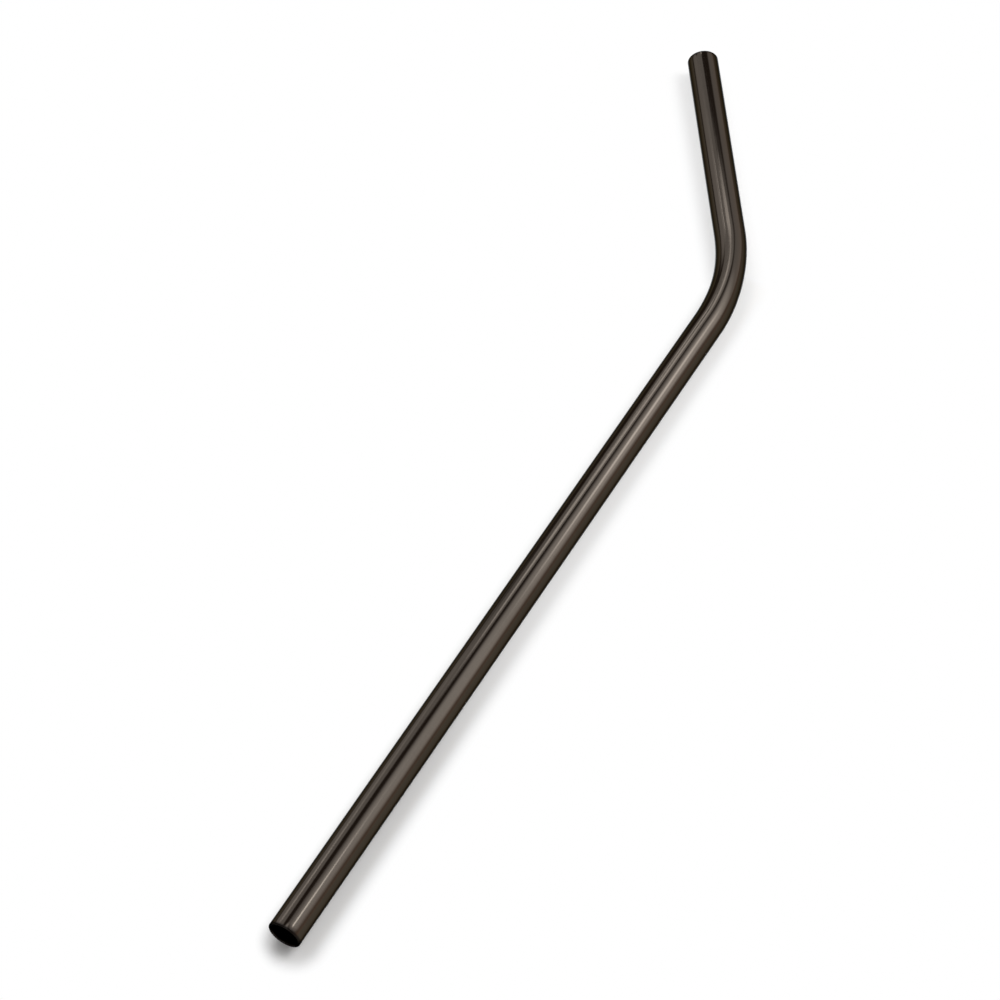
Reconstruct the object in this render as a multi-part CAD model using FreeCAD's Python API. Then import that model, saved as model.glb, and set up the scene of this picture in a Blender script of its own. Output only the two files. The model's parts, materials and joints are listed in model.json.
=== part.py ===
"""A bent metal drinking straw: one length of thin tube, bent once, open at both ends.

The straw lies flat on its side. Its long straight run, the stem, lies along X with its bottom end towards
-X. The bend turns the short run, the tip, towards +Y. The bend's plane is level. Bending leaves the tube
slightly oval there, so the bend is a little deeper than the straight runs and the straw rests on it first.
The origin is at the middle of the bounding box's base.

Everything is worked out on the tube's centre line, which starts at the bottom end and runs along +X.
The solid moves to its origin last.
"""

import FreeCAD
import Part
import math
import os

from FreeCAD import Placement, Rotation, Vector

# Driving dimensions, in millimetres and degrees

CUT_LENGTH = 215.0  # of the tube before it is bent, lip to lip
OUTER_DIAMETER = 6.0
WALL = 0.5

TIP_LENGTH = 45.0  # straight run from the end of the bend to the lip that is drunk from
BEND_RADIUS = 39.0  # to the tube's centre line
BEND_ANGLE = 34.2  # how far the tip turns away from the line of the stem
BEND_FLATTENING = 0.2  # how much narrower than the tube the bend is, in its own plane

# Sections that the bend's skin passes through, both ends included

BEND_SECTIONS = 13

# What follows from them

OUTER_RADIUS = OUTER_DIAMETER / 2
BORE_RADIUS = OUTER_RADIUS - WALL
LIP_RADIUS = WALL / 2  # each end is rounded right over, from the bore to the outside

BEND_LENGTH = BEND_RADIUS * math.radians(BEND_ANGLE)
STEM_LENGTH = CUT_LENGTH - BEND_LENGTH - TIP_LENGTH

# Bending stretches and thins the wall on the outside of the bend, and gathers and thickens it inside

OUTSIDE_WALL = WALL * BEND_RADIUS / (BEND_RADIUS + OUTER_RADIUS)
INSIDE_WALL = WALL * BEND_RADIUS / (BEND_RADIUS - OUTER_RADIUS)

UP = Vector(0, 0, 1)
BEND_CENTRE = Vector(STEM_LENGTH, BEND_RADIUS, 0)


def lipped_tube(length):
    """A straight run of tube along +X, with its rounded lip at X = 0 and a square end at X = length."""
    bore_lip = Vector(LIP_RADIUS, BORE_RADIUS, 0)
    crest = Vector(0, BORE_RADIUS + LIP_RADIUS, 0)
    outer_lip = Vector(LIP_RADIUS, OUTER_RADIUS, 0)
    outer_end = Vector(length, OUTER_RADIUS, 0)
    bore_end = Vector(length, BORE_RADIUS, 0)
    outline = Part.Wire([
        Part.Arc(bore_lip, crest, outer_lip).toShape(),
        Part.makeLine(outer_lip, outer_end),
        Part.makeLine(outer_end, bore_end),
        Part.makeLine(bore_end, bore_lip),
    ])
    return Part.Face(outline).revolve(Vector(0, 0, 0), Vector(1, 0, 0), 360)


def oval(turned, radius_up, narrowing, shift):
    """A section of the bend, where the tube has turned by so many degrees.

    Its radius is radius_up along Z and less than that by narrowing in the plane of the bend.
    Its middle lies outside the centre line by shift.
    """
    turn = Rotation(UP, turned)
    middle = BEND_CENTRE + turn.multVec(Vector(0, -BEND_RADIUS - shift, 0))
    ellipse = Part.Ellipse(middle, radius_up, radius_up - narrowing)
    ellipse.Axis = turn.multVec(Vector(1, 0, 0))
    ellipse.XAxis = UP
    return Part.Wire([ellipse.toShape()])


def bending(share):
    """How much the section has changed, from 0 at either end of the bend to 1 at its middle."""
    return math.sin(math.pi * share) ** 2


def skin_section(share):
    """The tube's outside at a share of the way round the bend: flattened, with its girth kept."""
    flattening = BEND_FLATTENING * bending(share)
    return oval(BEND_ANGLE * share, OUTER_RADIUS + flattening / 2, flattening, 0)


def bore_section(share):
    """The tube's bore at a share of the way round the bend, off centre by the change in its walls."""
    flattening = BEND_FLATTENING * bending(share)
    thickening = ((INSIDE_WALL + OUTSIDE_WALL) / 2 - WALL) * bending(share)
    shift = (INSIDE_WALL - OUTSIDE_WALL) / 2 * bending(share)
    return oval(BEND_ANGLE * share, BORE_RADIUS + flattening / 2, flattening + thickening, shift)


def bend():
    """The bent stretch between the two straight runs: an oval skin with an oval bore taken out of it."""
    shares = [i / (BEND_SECTIONS - 1) for i in range(BEND_SECTIONS)]
    skin = Part.makeLoft([skin_section(share) for share in shares], True)
    bore = Part.makeLoft([bore_section(share) for share in shares], True)
    return skin.cut(bore)


def tip():
    """The short run, turned end for end so that its square end meets the bend and its lip faces away."""
    run = lipped_tube(TIP_LENGTH)
    turn = Rotation(UP, BEND_ANGLE)
    lip_centre = BEND_CENTRE + turn.multVec(Vector(TIP_LENGTH, -BEND_RADIUS, 0))
    run.Placement = Placement(lip_centre, Rotation(UP, BEND_ANGLE + 180))
    return run


def straw_tube():
    """The whole straw, with its origin at the middle of its box's base."""
    tube = lipped_tube(STEM_LENGTH).fuse([bend(), tip()])
    box = tube.optimalBoundingBox()
    tube.translate(-Vector(box.Center.x, box.Center.y, box.ZMin))
    return tube


os.makedirs("parts", exist_ok=True)
straw_tube().exportStep("parts/straw_tube.step")
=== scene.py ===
"""The finish and the fine form of a bent metal drinking straw.

The straw is one length of thin steel tube with a dark, polished, bronze-black coating. It lies flat: the long
stem runs along X, and the short tip turns away from it towards +Y. A Geometry Nodes tree builds the tube at
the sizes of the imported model, with its oval bend, its bore and its rounded lips. Lengths are in metres.
"""

import json
import math

import bpy
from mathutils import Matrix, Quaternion, Vector


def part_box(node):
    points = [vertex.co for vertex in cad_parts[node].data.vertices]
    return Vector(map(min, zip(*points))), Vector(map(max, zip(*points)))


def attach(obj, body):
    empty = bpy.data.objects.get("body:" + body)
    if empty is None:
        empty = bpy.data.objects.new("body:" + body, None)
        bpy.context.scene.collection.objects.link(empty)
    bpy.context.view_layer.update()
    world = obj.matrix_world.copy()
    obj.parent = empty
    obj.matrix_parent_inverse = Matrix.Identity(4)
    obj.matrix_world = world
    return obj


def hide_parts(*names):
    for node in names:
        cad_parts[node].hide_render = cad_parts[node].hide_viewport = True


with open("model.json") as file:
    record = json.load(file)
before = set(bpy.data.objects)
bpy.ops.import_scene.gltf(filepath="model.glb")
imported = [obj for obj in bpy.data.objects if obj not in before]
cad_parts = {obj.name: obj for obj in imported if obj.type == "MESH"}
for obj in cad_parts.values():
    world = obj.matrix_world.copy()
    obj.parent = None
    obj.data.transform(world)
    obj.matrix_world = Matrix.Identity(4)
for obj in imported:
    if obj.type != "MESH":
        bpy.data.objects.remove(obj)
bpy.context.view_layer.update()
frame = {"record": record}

# Sizes of the tube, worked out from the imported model, where each straight run is a mount

MOUNTS = {mount["name"]: mount for mount in frame["record"]["mounts"]}
LOW_CORNER, HIGH_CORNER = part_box("straw_tube")


def mount_size(name, size):
    """One of a mount's sizes, in metres."""
    return MOUNTS[name]["dims"][size] / 1000


OUTER_RADIUS = mount_size("stem_outside", "r_mm")
BORE_RADIUS = mount_size("stem_bore", "r_mm")
WALL = OUTER_RADIUS - BORE_RADIUS
LIP_RADIUS = WALL / 2  # each end is rounded right over, from the bore to the outside

STEM_MIDDLE = Vector(MOUNTS["stem_outside"]["pos_m"])
TIP_MIDDLE = Vector(MOUNTS["tip_outside"]["pos_m"])
TIP_DIRECTION = Vector(MOUNTS["tip_outside"]["axis"])

STEM_DIRECTION = Vector((1, 0, 0))
STEM_LENGTH = mount_size("stem_outside", "length_mm") + LIP_RADIUS
TIP_LENGTH = mount_size("tip_outside", "length_mm") + LIP_RADIUS
BEND_ANGLE = math.atan2(TIP_DIRECTION.y, TIP_DIRECTION.x)

# The stem's centre line and the tip's meet at a corner, and the bend rounds it off

BOTTOM_LIP = Vector((LOW_CORNER.x, STEM_MIDDLE.y, STEM_MIDDLE.z))
CORNER_X = TIP_MIDDLE.x - (TIP_MIDDLE.y - STEM_MIDDLE.y) / math.tan(BEND_ANGLE)
BEND_RADIUS = (CORNER_X - BOTTOM_LIP.x - STEM_LENGTH) / math.tan(BEND_ANGLE / 2)
BEND_LENGTH = BEND_RADIUS * BEND_ANGLE
CUT_LENGTH = STEM_LENGTH + BEND_LENGTH + TIP_LENGTH

# In the bend the tube is oval, with its wall thinned outside and thickened inside

FLATTENING = HIGH_CORNER.z - LOW_CORNER.z - 2 * OUTER_RADIUS
OUTSIDE_WALL = WALL * BEND_RADIUS / (BEND_RADIUS + OUTER_RADIUS)
INSIDE_WALL = WALL * BEND_RADIUS / (BEND_RADIUS - OUTER_RADIUS)

# Fineness of the mesh

RING_SPACING = 0.001
SIDES = 96
LIP_STEPS = 10
SEAM_GAP = 1e-7

# The coating: dark bronze, with less of a white rim than bare metal has where it is seen edge on

BRONZE = (0.059, 0.047, 0.034)
BRONZE_DEEP = (0.035, 0.028, 0.020)
EDGE_TINT = (0.358, 0.371, 0.383)
# Painted shade: the lips' near-black colour stands in for the shade that falls at the mouths
LIP_PAINTED_SHADE = (0.013, 0.011, 0.009)
LIP_REACH = 2.5 * LIP_RADIUS  # from the very end to where the lips' painted shade and dulling have faded out
LIP_DULLING = 0.15
DRIFTS_PER_METRE = 45.0
SMUDGES_PER_METRE = 160.0
LINES_PER_METRE = (9000.0, 350.0)  # along the tube and round it
LINE_DEPTH = 1.2e-6
COATING_ROUGHNESS = 0.112
ROUGHNESS_SWING = 0.06  # that of the lines, and that of the smudges

# Camera and lights. A bearing is the direction in which something lies from the straw, in degrees from +X
# towards +Y, and a height is its angle above the floor.

AIM = Vector((-0.00884, -0.00137, 0))
CAMERA_BEARING = 209.86
CAMERA_HEIGHT = 53.6
CAMERA_DISTANCE = 0.5737
LENS = 115.88  # this and the next in millimetres
SENSOR_WIDTH = 36.0

# The lamps are slightly cool. Each glows in a rounded shape that the power sets: 2 gives an ellipse, and a
# higher one squares it up.

LAMP_COLOUR = (0.92, 1.0, 1.19)
LAMP_POWER = 2.0

# The room that the straw mirrors. A level is how bright it looks, where a white page is 1: at the floor's
# height on the stem's right and left, and above. ROOM_SIDE and ROOM_TOP are how far a direction of length 1
# leans sideways and upwards where these levels are reached.

ROOM_COLOUR = (1.23, 1.0, 0.95)
ROOM_RIGHT = 1.0
ROOM_LEFT = 0.19
ROOM_SIDE = 0.8
ROOM_ABOVE = 0.16
ROOM_TOP = 0.67

# The floor's own colour takes the lamps' coolness out, so that its shadow is a neutral grey

FLOOR_SIZE = 8.0
FLOOR_BRIGHTNESS = 0.92
FLOOR_WHITE = tuple(FLOOR_BRIGHTNESS / part for part in LAMP_COLOUR)
PLAIN_WHITE = (1.0, 1.0, 1.0, 1.0)


def beside(place, heading, ahead, left):
    """The spot on the floor so far ahead of a place and to the left of it, for a heading."""
    return Vector((place.x, place.y, 0)) + ahead * heading + left * Vector((-heading.y, heading.x, 0))


# The floor is burnt out to plain white, save along a path beside the straw, where it keeps its shadow. A
# depth is the share of that shadow that it keeps.

SHADE_START = beside(BOTTOM_LIP, STEM_DIRECTION, 0.0015, -0.0010)
SHADE_TURN = beside(Vector((CORNER_X, BOTTOM_LIP.y, 0)), STEM_DIRECTION, 0, -0.0003)
SHADE_END = beside(TIP_MIDDLE, TIP_DIRECTION, TIP_LENGTH / 2, 0.0010)
SHADE_WIDTHS = (0.0029, 0.0067)  # from the path to where its shade starts to fade, and to where it ends
SHADE_EASING = (0.2, 0.55)  # shares of a stretch between which its depth changes
STEM_SHADE_DEPTHS = (0.95, 0.66)  # before that and after it
TIP_SHADE_DEPTHS = (0.43, 0.39)


class Value:
    """A node's output that can stand in sums: each operator adds the Math node that does it."""

    def __init__(self, tree, socket):
        self.tree = tree
        self.socket = socket

    def __add__(self, other):
        return self.tree.math("ADD", self, other)

    def __sub__(self, other):
        return self.tree.math("SUBTRACT", self, other)

    def __mul__(self, other):
        return self.tree.math("MULTIPLY", self, other)

    def __truediv__(self, other):
        return self.tree.math("DIVIDE", self, other)

    def __pow__(self, other):
        return self.tree.math("POWER", self, other)

    def __radd__(self, other):
        return self.tree.math("ADD", other, self)

    def __rsub__(self, other):
        return self.tree.math("SUBTRACT", other, self)

    def __rmul__(self, other):
        return self.tree.math("MULTIPLY", other, self)


class Tree:
    """Adds nodes to a shader tree or a geometry tree."""

    def __init__(self, node_tree):
        self.node_tree = node_tree

    def add(self, kind, settings=None, sockets=None, output=0):
        """Adds a node of a type: its settings first, and then its sockets' values or links.

        A socket goes by its name or its number. What comes back is the node's output of that name or number.
        """
        node = self.node_tree.nodes.new(kind)
        for name, setting in (settings or {}).items():
            setattr(node, name, setting)
        for name, value in (sockets or {}).items():
            self.join(value, self.pick(node.inputs, name))
        if not node.outputs:
            return node
        return Value(self, self.pick(node.outputs, output))

    def pick(self, sockets, name):
        """The socket of a number, or the one of that name that the node's settings leave in use."""
        if isinstance(name, int):
            return sockets[name]
        return next(socket for socket in sockets if socket.name == name and socket.enabled)

    def join(self, value, socket):
        """Links a Value to a socket, or sets the socket to a plain value."""
        if isinstance(value, Value):
            self.node_tree.links.new(value.socket, socket)
        else:
            socket.default_value = value

    def also(self, value, output):
        """Another output of the node that a Value comes from."""
        return Value(self, self.pick(value.socket.node.outputs, output))

    def math(self, operation, *values):
        """A Math node on one or two values."""
        return self.add("ShaderNodeMath", {"operation": operation}, dict(enumerate(values)))


class SizedTree(Tree):
    """A Geometry Nodes tree with a named input for each of its sizes."""

    KINDS = {float: "NodeSocketFloat", int: "NodeSocketInt", Vector: "NodeSocketVector"}

    def __init__(self, name, sizes):
        super().__init__(bpy.data.node_groups.new(name, "GeometryNodeTree"))
        self.sizes = sizes
        self.identifiers = {size: self.face(size, "INPUT", self.KINDS[type(value)])
                            for size, value in sizes.items()}
        self.identifiers["Material"] = self.face("Material", "INPUT", "NodeSocketMaterial")
        self.face("Geometry", "OUTPUT", "NodeSocketGeometry")
        self.inputs = self.add("NodeGroupInput")

    def face(self, name, in_out, kind):
        """Adds a named input or output to the tree and returns its identifier."""
        return self.node_tree.interface.new_socket(name, in_out=in_out, socket_type=kind).identifier

    def size(self, name):
        """The Value of a named input."""
        return self.also(self.inputs, name)

    def share(self, value, start, length):
        """How far a value has gone from start over a length, held between 0 and 1."""
        return self.add("ShaderNodeMapRange", {"clamp": True},
                        {"Value": value, "From Min": start, "From Max": start + length})

    def finish(self, geometry):
        """Ends the tree, with its instances made real and its material set."""
        real = self.add("GeometryNodeRealizeInstances", sockets={"Geometry": geometry})
        dressed = self.add("GeometryNodeSetMaterial",
                           sockets={"Geometry": real, "Material": self.size("Material")})
        self.add("NodeGroupOutput", sockets={"Geometry": dressed})

    def build(self, name, material):
        """Runs the tree and returns what it makes as a plain mesh object."""
        piece = bpy.data.objects.new(name, bpy.data.meshes.new(name + "_start"))
        bpy.context.scene.collection.objects.link(piece)
        modifier = piece.modifiers.new(name, "NODES")
        modifier.node_group = self.node_tree
        for size, value in self.sizes.items():
            modifier[self.identifiers[size]] = value
        modifier[self.identifiers["Material"]] = material
        evaluated = piece.evaluated_get(bpy.context.evaluated_depsgraph_get())
        mesh = bpy.data.meshes.new_from_object(evaluated)
        piece.modifiers.remove(modifier)
        piece.data = mesh
        return piece


def tube_tree():
    """The tree that makes the bent tube.

    It starts from a flat grid. One side of the grid follows the tube's wall from the bottom lip, along the
    outside to the top lip and back through the bore, and the other side goes round the tube.
    """
    tree = SizedTree("bent_tube", {
        "Bottom Lip": BOTTOM_LIP,
        "Cut Length": CUT_LENGTH,
        "Stem Length": STEM_LENGTH,
        "Bend Length": BEND_LENGTH,
        "Bend Radius": BEND_RADIUS,
        "Outer Radius": OUTER_RADIUS,
        "Wall": WALL,
        "Flattening": FLATTENING,
        "Inside Wall": INSIDE_WALL,
        "Outside Wall": OUTSIDE_WALL,
        "Runs": round(CUT_LENGTH / RING_SPACING),
        "Lip Steps": LIP_STEPS,
        "Sides": SIDES,
    })
    size = tree.size
    stem_length, bend_length, bend_radius = size("Stem Length"), size("Bend Length"), size("Bend Radius")
    wall, flattening = size("Wall"), size("Flattening")
    runs, lip_steps = size("Runs"), size("Lip Steps")
    lip_radius = wall / 2
    stations = 2 * (runs + lip_steps)

    grid = tree.add("GeometryNodeMeshGrid", sockets={
        "Size X": 1.0, "Size Y": 1.0, "Vertices X": stations + 1, "Vertices Y": size("Sides") + 1})
    grid_x = tree.add("ShaderNodeSeparateXYZ", sockets={0: tree.add("GeometryNodeInputPosition")})
    station = (grid_x + 0.5) * stations
    turn = (0.5 - tree.also(grid_x, "Y")) * (2 * math.pi)

    # Where a point is in the straight tube: how far along, how far from the middle and how deep in the wall
    run = tree.share(station, 0, runs) - tree.share(station, runs + lip_steps, runs)
    half_turns = (tree.share(station, runs, lip_steps)
                  + tree.share(station, 2 * runs + lip_steps, lip_steps))
    lip_turn = (0.5 - half_turns) * math.pi
    lift = lip_radius * tree.math("SINE", lip_turn)
    along = (lip_radius + run * (size("Cut Length") - wall)
             + lip_radius * tree.math("COSINE", lip_turn))
    radius = size("Outer Radius") - lip_radius + lift
    depth = 0.5 - lift / wall

    # What the bend makes of the section there
    bent = tree.share(along, stem_length, bend_length)
    bending = tree.math("SINE", bent * math.pi) ** 2.0
    half_flat = bending * flattening / 2
    thickening = bending * depth * ((size("Inside Wall") + size("Outside Wall")) / 2 - wall)
    shift = bending * depth * (size("Inside Wall") - size("Outside Wall")) / 2
    up = (radius + half_flat) * tree.math("SINE", turn)
    inward = (radius - half_flat - thickening) * tree.math("COSINE", turn) - shift

    # The section is carried round the bend's centre, and straight on along the tip
    before = tree.math("MINIMUM", along - stem_length, 0.0)
    beyond = tree.math("MAXIMUM", along - stem_length - bend_length, 0.0)
    spoke = tree.add("ShaderNodeCombineXYZ",
                     sockets={"X": before + beyond, "Y": inward - bend_radius, "Z": up})
    swung = tree.add("ShaderNodeVectorRotate", {"rotation_type": "Z_AXIS"},
                     {"Vector": spoke, "Angle": bent * bend_length / bend_radius})
    centre = tree.add("ShaderNodeCombineXYZ", sockets={"X": stem_length, "Y": bend_radius, "Z": 0.0})
    from_lip = tree.add("ShaderNodeVectorMath", {"operation": "ADD"}, {0: swung, 1: centre})
    place = tree.add("ShaderNodeVectorMath", {"operation": "ADD"}, {0: from_lip, 1: size("Bottom Lip")})

    # The skin's own map, in metres along the tube and round it, for patterns that follow the bend
    skin = tree.add("ShaderNodeCombineXYZ", sockets={"X": along, "Y": turn * size("Outer Radius"), "Z": 0.0})
    mapped = tree.add("GeometryNodeStoreNamedAttribute", {"data_type": "FLOAT2", "domain": "CORNER"},
                      {"Geometry": grid, "Name": "skin", "Value": skin})
    moved = tree.add("GeometryNodeSetPosition", sockets={"Geometry": mapped, "Position": place})
    closed = tree.add("GeometryNodeMergeByDistance", sockets={"Geometry": moved, "Distance": SEAM_GAP})
    tree.finish(tree.add("GeometryNodeSetShadeSmooth", sockets={"Geometry": closed}))
    return tree


def new_material(name):
    """A material with an empty tree."""
    material = bpy.data.materials.new(name)
    material.use_nodes = True
    material.node_tree.nodes.clear()
    return material, Tree(material.node_tree)


def coated_steel():
    """The dark bronze coating over polished steel."""
    material, tree = new_material("coated_steel")
    skin = tree.add("ShaderNodeUVMap", {"uv_map": "skin"})
    place = tree.add("ShaderNodeTexCoord", output="Object")

    # Fine polishing lines run round the tube
    stretched = tree.add("ShaderNodeMapping", sockets={"Vector": skin, "Scale": (*LINES_PER_METRE, 1.0)})
    lines = tree.add("ShaderNodeTexNoise", {"noise_dimensions": "2D"},
                     {"Vector": stretched, "Scale": 1.0, "Detail": 3.0, "Roughness": 0.6})
    grooves = tree.add("ShaderNodeBump", sockets={
        "Height": lines, "Distance": LINE_DEPTH, "Strength": 1.0})

    # The coating's thickness drifts over a few centimetres and from line to line, and its colour with it
    drift = tree.add("ShaderNodeTexNoise",
                     sockets={"Vector": place, "Scale": DRIFTS_PER_METRE, "Detail": 2.0})
    colour = tree.add("ShaderNodeMix", {"data_type": "RGBA"}, {
        "Factor": (drift + lines) / 2, "A": (*BRONZE_DEEP, 1.0), "B": (*BRONZE, 1.0)}, "Result")

    # Painted shade makes the two lips near black, and they are duller too
    along = tree.add("ShaderNodeSeparateXYZ", sockets={0: skin})
    from_end = tree.math("MINIMUM", along, CUT_LENGTH - along)
    lip = tree.add("ShaderNodeMapRange", {"interpolation_type": "SMOOTHSTEP"},
                   {"Value": from_end, "From Min": LIP_REACH, "From Max": LIP_RADIUS / 2})
    coating_with_lip_shade = tree.add("ShaderNodeMix", {"data_type": "RGBA"},
                       {"Factor": lip, "A": colour, "B": (*LIP_PAINTED_SHADE, 1.0)}, "Result")

    # Handling leaves the gloss a little uneven, and so do the lines
    smudges = tree.add("ShaderNodeTexNoise",
                       sockets={"Vector": place, "Scale": SMUDGES_PER_METRE, "Detail": 4.0})
    roughness = COATING_ROUGHNESS + (lines + smudges - 1.0) * ROUGHNESS_SWING + lip * LIP_DULLING

    shader = tree.add("ShaderNodeBsdfPrincipled", sockets={
        "Base Color": coating_with_lip_shade,
        "Metallic": 1.0,
        "Roughness": roughness,
        "Specular Tint": (*EDGE_TINT, 1.0),
        "Normal": grooves,
    })
    tree.add("ShaderNodeOutputMaterial", sockets={"Surface": shader})
    return material


def shade_beside(tree, place, start, end, depths):
    """How much shade the floor keeps beside a stretch of the path: its depth there near it, and none away."""
    stretch = end - start
    from_start = tree.add("ShaderNodeVectorMath", {"operation": "SUBTRACT"}, {0: place, 1: start})
    share = tree.add("ShaderNodeVectorMath", {"operation": "DOT_PRODUCT"},
                     {0: from_start, 1: stretch / stretch.length_squared}, "Value")
    held = tree.math("MINIMUM", tree.math("MAXIMUM", share, 0.0), 1.0)
    nearest = tree.add("ShaderNodeVectorMath", {"operation": "SCALE"}, {0: stretch, "Scale": held})
    away = tree.add("ShaderNodeVectorMath", {"operation": "DISTANCE"}, {0: from_start, 1: nearest}, "Value")
    near, far = SHADE_WIDTHS
    nearness = tree.add("ShaderNodeMapRange", {"interpolation_type": "SMOOTHSTEP"},
                        {"Value": away, "From Min": far, "From Max": near})
    early, late = SHADE_EASING
    depth = tree.add("ShaderNodeMapRange", {"interpolation_type": "SMOOTHSTEP"}, {
        "Value": held, "From Min": early, "From Max": late, "To Min": depths[0], "To Max": depths[1]})
    return nearness * depth


def floor_white():
    """Matt white, for the floor, burnt out to plain white away from the straw."""
    material, tree = new_material("floor_white")
    place = tree.add("ShaderNodeTexCoord", output="Object")
    shade = tree.math("MAXIMUM",
                      shade_beside(tree, place, SHADE_START, SHADE_TURN, STEM_SHADE_DEPTHS),
                      shade_beside(tree, place, SHADE_TURN, SHADE_END, TIP_SHADE_DEPTHS))

    matt = tree.add("ShaderNodeBsdfPrincipled", sockets={
        "Base Color": (*FLOOR_WHITE, 1.0),
        "Roughness": 1.0,
        "Specular IOR Level": 0.0,
    })
    plain = tree.add("ShaderNodeEmission", sockets={"Color": PLAIN_WHITE, "Strength": 1.0})
    camera_ray = tree.add("ShaderNodeLightPath", output="Is Camera Ray")
    mirror_ray = tree.math("MAXIMUM", tree.also(camera_ray, "Is Glossy Ray"),
                           tree.also(camera_ray, "Is Transmission Ray"))
    seen = tree.math("MAXIMUM", camera_ray, mirror_ray)
    shader = tree.add("ShaderNodeMixShader",
                      sockets={0: seen * (1.0 - shade), 1: matt, 2: plain})
    tree.add("ShaderNodeOutputMaterial", sockets={"Surface": shader})
    return material


def direction(bearing, height):
    """The unit vector towards a bearing and a height, both in degrees."""
    bearing, height = math.radians(bearing), math.radians(height)
    return Vector((math.cos(height) * math.cos(bearing),
                   math.cos(height) * math.sin(bearing),
                   math.sin(height)))


def link(name, data):
    """A new object in the scene."""
    holder = bpy.data.objects.new(name, data)
    bpy.context.scene.collection.objects.link(holder)
    return holder


def camera():
    """The camera, which looks down across the stem."""
    data = bpy.data.cameras.new("camera")
    data.lens = LENS
    data.sensor_width = SENSOR_WIDTH
    data.clip_start = 0.01
    holder = link("camera", data)
    away = direction(CAMERA_BEARING, CAMERA_HEIGHT)
    holder.location = AIM + CAMERA_DISTANCE * away
    holder.rotation_euler = away.to_track_quat("Z", "Y").to_euler()
    bpy.context.scene.camera = holder


def soft_box(name, at, size, roll, glow, core):
    """A rectangular lamp that faces the straw. The straw mirrors it and the floor is lit by it.

    It stands at a bearing, a height and a distance. Its size is its width and how tall it is, before its
    roll, in degrees. Its glow is how bright its middle looks, where a white page is 1. It keeps that out to a
    share of its size, the core, and fades from there to nothing at its edge.
    """
    bearing, height, distance = at
    width, tall = size
    data = bpy.data.lights.new(name, "AREA")
    data.shape = "RECTANGLE"
    data.size, data.size_y = width, tall
    data.energy = glow * math.pi * width * tall
    data.color = LAMP_COLOUR
    data.use_nodes = True
    data.node_tree.nodes.clear()
    tree = Tree(data.node_tree)
    across = tree.add("ShaderNodeSeparateXYZ", sockets={0: tree.add("ShaderNodeNewGeometry",
                                                                    output="Parametric")})
    reach = ((2 * across - 1) ** LAMP_POWER + (2 * tree.also(across, "Y") - 1) ** LAMP_POWER
             ) ** (1 / LAMP_POWER)
    fade = tree.add("ShaderNodeMapRange", {"interpolation_type": "SMOOTHSTEP"},
                    {"Value": reach, "From Min": 1.0, "From Max": core})
    shader = tree.add("ShaderNodeEmission", sockets={"Color": fade, "Strength": 1.0})
    tree.add("ShaderNodeOutputLight", sockets={"Surface": shader})
    holder = link(name, data)
    away = direction(bearing, height)
    holder.location = distance * away
    holder.rotation_euler = (away.to_track_quat("Z", "Y")
                             @ Quaternion((0, 0, 1), math.radians(roll))).to_euler()
    holder.visible_camera = False
    return holder


def room():
    """The room around the lamps: bright at floor height on the stem's right, and dim on its left and above.

    The straw mirrors it. It lights the floor in the lamps' colour. A view past the floor's edge is plain
    white.
    """
    world = bpy.data.worlds.new("room")
    world.use_nodes = True
    world.node_tree.nodes.clear()
    tree = Tree(world.node_tree)
    towards = tree.add("ShaderNodeSeparateXYZ", sockets={0: tree.add("ShaderNodeTexCoord",
                                                                     output="Generated")})
    wall = tree.add("ShaderNodeMapRange", sockets={
        "Value": tree.also(towards, "Y"), "From Min": -ROOM_SIDE, "From Max": ROOM_SIDE,
        "To Min": ROOM_RIGHT, "To Max": ROOM_LEFT})
    height = tree.add("ShaderNodeMapRange", sockets={
        "Value": tree.also(towards, "Z"), "From Min": 0.0, "From Max": ROOM_TOP})
    level = wall + height * (ROOM_ABOVE - wall)
    lighting_ray = tree.add("ShaderNodeLightPath", output="Is Diffuse Ray")
    colour = tree.add("ShaderNodeMix", {"data_type": "RGBA"}, {
        "Factor": lighting_ray, "A": (*ROOM_COLOUR, 1.0), "B": (*LAMP_COLOUR, 1.0)}, "Result")
    walls = tree.add("ShaderNodeBackground", sockets={"Color": colour, "Strength": level})
    plain = tree.add("ShaderNodeBackground", sockets={"Color": PLAIN_WHITE, "Strength": 1.0})
    seen = tree.math("MAXIMUM", tree.also(lighting_ray, "Is Camera Ray"),
                     tree.also(lighting_ray, "Is Transmission Ray"))
    shader = tree.add("ShaderNodeMixShader", sockets={0: seen, 1: walls, 2: plain})
    tree.add("ShaderNodeOutputWorld", sockets={"Surface": shader})
    bpy.context.scene.world = world


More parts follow.
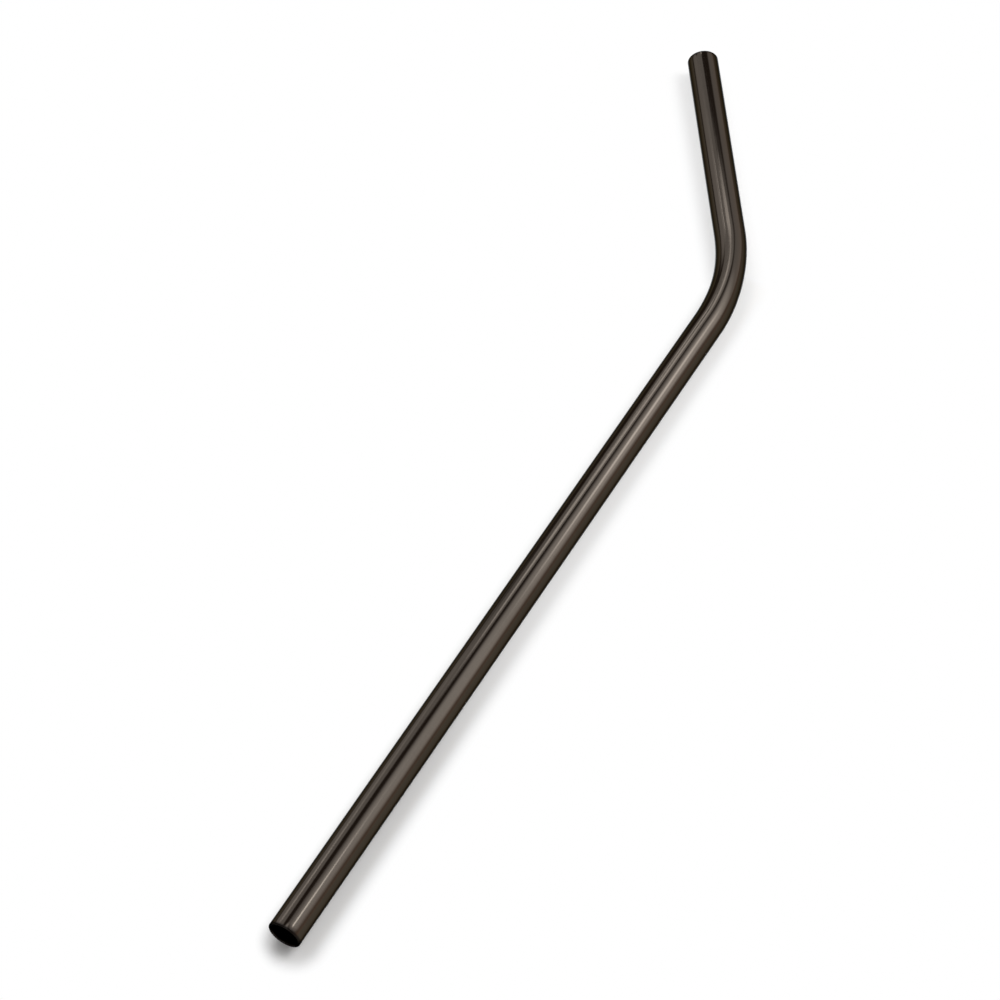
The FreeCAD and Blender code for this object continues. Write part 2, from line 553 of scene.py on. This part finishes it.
def studio():
    """The floor, the lamps and the dim room around them."""
    mesh = bpy.data.meshes.new("floor")
    half = FLOOR_SIZE / 2
    corners = [(-half, -half, 0), (half, -half, 0), (half, half, 0), (-half, half, 0)]
    mesh.from_pydata(corners, [], [(0, 1, 2, 3)])
    mesh.materials.append(floor_white())
    link("floor", mesh)

    soft_box("right_box", at=(-46.5, 45.5, 1.08), size=(1.80, 1.03), roll=54, glow=3.3, core=0.30)
    soft_box("left_box", at=(71.5, 48.5, 0.76), size=(1.05, 0.43), roll=36, glow=1.5, core=0.85)
    soft_box("low_box", at=(-22.5, 27.5, 0.38), size=(0.31, 0.50), roll=65, glow=1.3, core=0.70)
    soft_box("side_box", at=(74.0, 23.5, 0.56), size=(0.29, 0.44), roll=-17, glow=1.8, core=0.60)
    soft_box("near_box", at=(22.5, 50.5, 0.40), size=(0.30, 0.115), roll=35, glow=2.4, core=0.45)
    soft_box("right_end", at=(-59.5, 55.0, 1.05), size=(0.23, 0.125), roll=54, glow=9.4, core=0.40)
    soft_box("right_core", at=(-40.0, 43.5, 0.56), size=(0.185, 0.15), roll=-15, glow=5.5, core=0.30)
    soft_box("left_end", at=(65.0, 37.0, 1.20), size=(0.095, 0.08), roll=-70, glow=7.6, core=0.25)
    soft_box("left_core", at=(35.5, 47.5, 0.35), size=(0.16, 0.075), roll=18, glow=4.7, core=0.80)
    soft_box("left_low", at=(41.5, 35.5, 1.48), size=(0.24, 0.29), roll=5, glow=5.6, core=0.25)

    # These are for the straw's other sides to mirror, and they leave the floor's shadow alone. From the
    # camera, only a short sheen beside the bottom lip is theirs.
    for name, at, size, glow in (
            ("top_box", (90.0, 90.0, 1.1), (0.9, 0.5), 3.5),
            ("bottom_end_box", (180.0, 24.0, 1.2), (0.9, 0.5), 4.5),
            ("top_end_box", (12.0, 17.0, 1.4), (0.5, 0.35), 4.5)):
        soft_box(name, at, size, roll=0, glow=glow, core=0.3).visible_diffuse = False
    room()


scene = bpy.context.scene
scene.view_settings.view_transform = "Standard"

camera()
studio()

straw = tube_tree().build("coated_tube", coated_steel())
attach(straw, "root")
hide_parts("straw_tube")
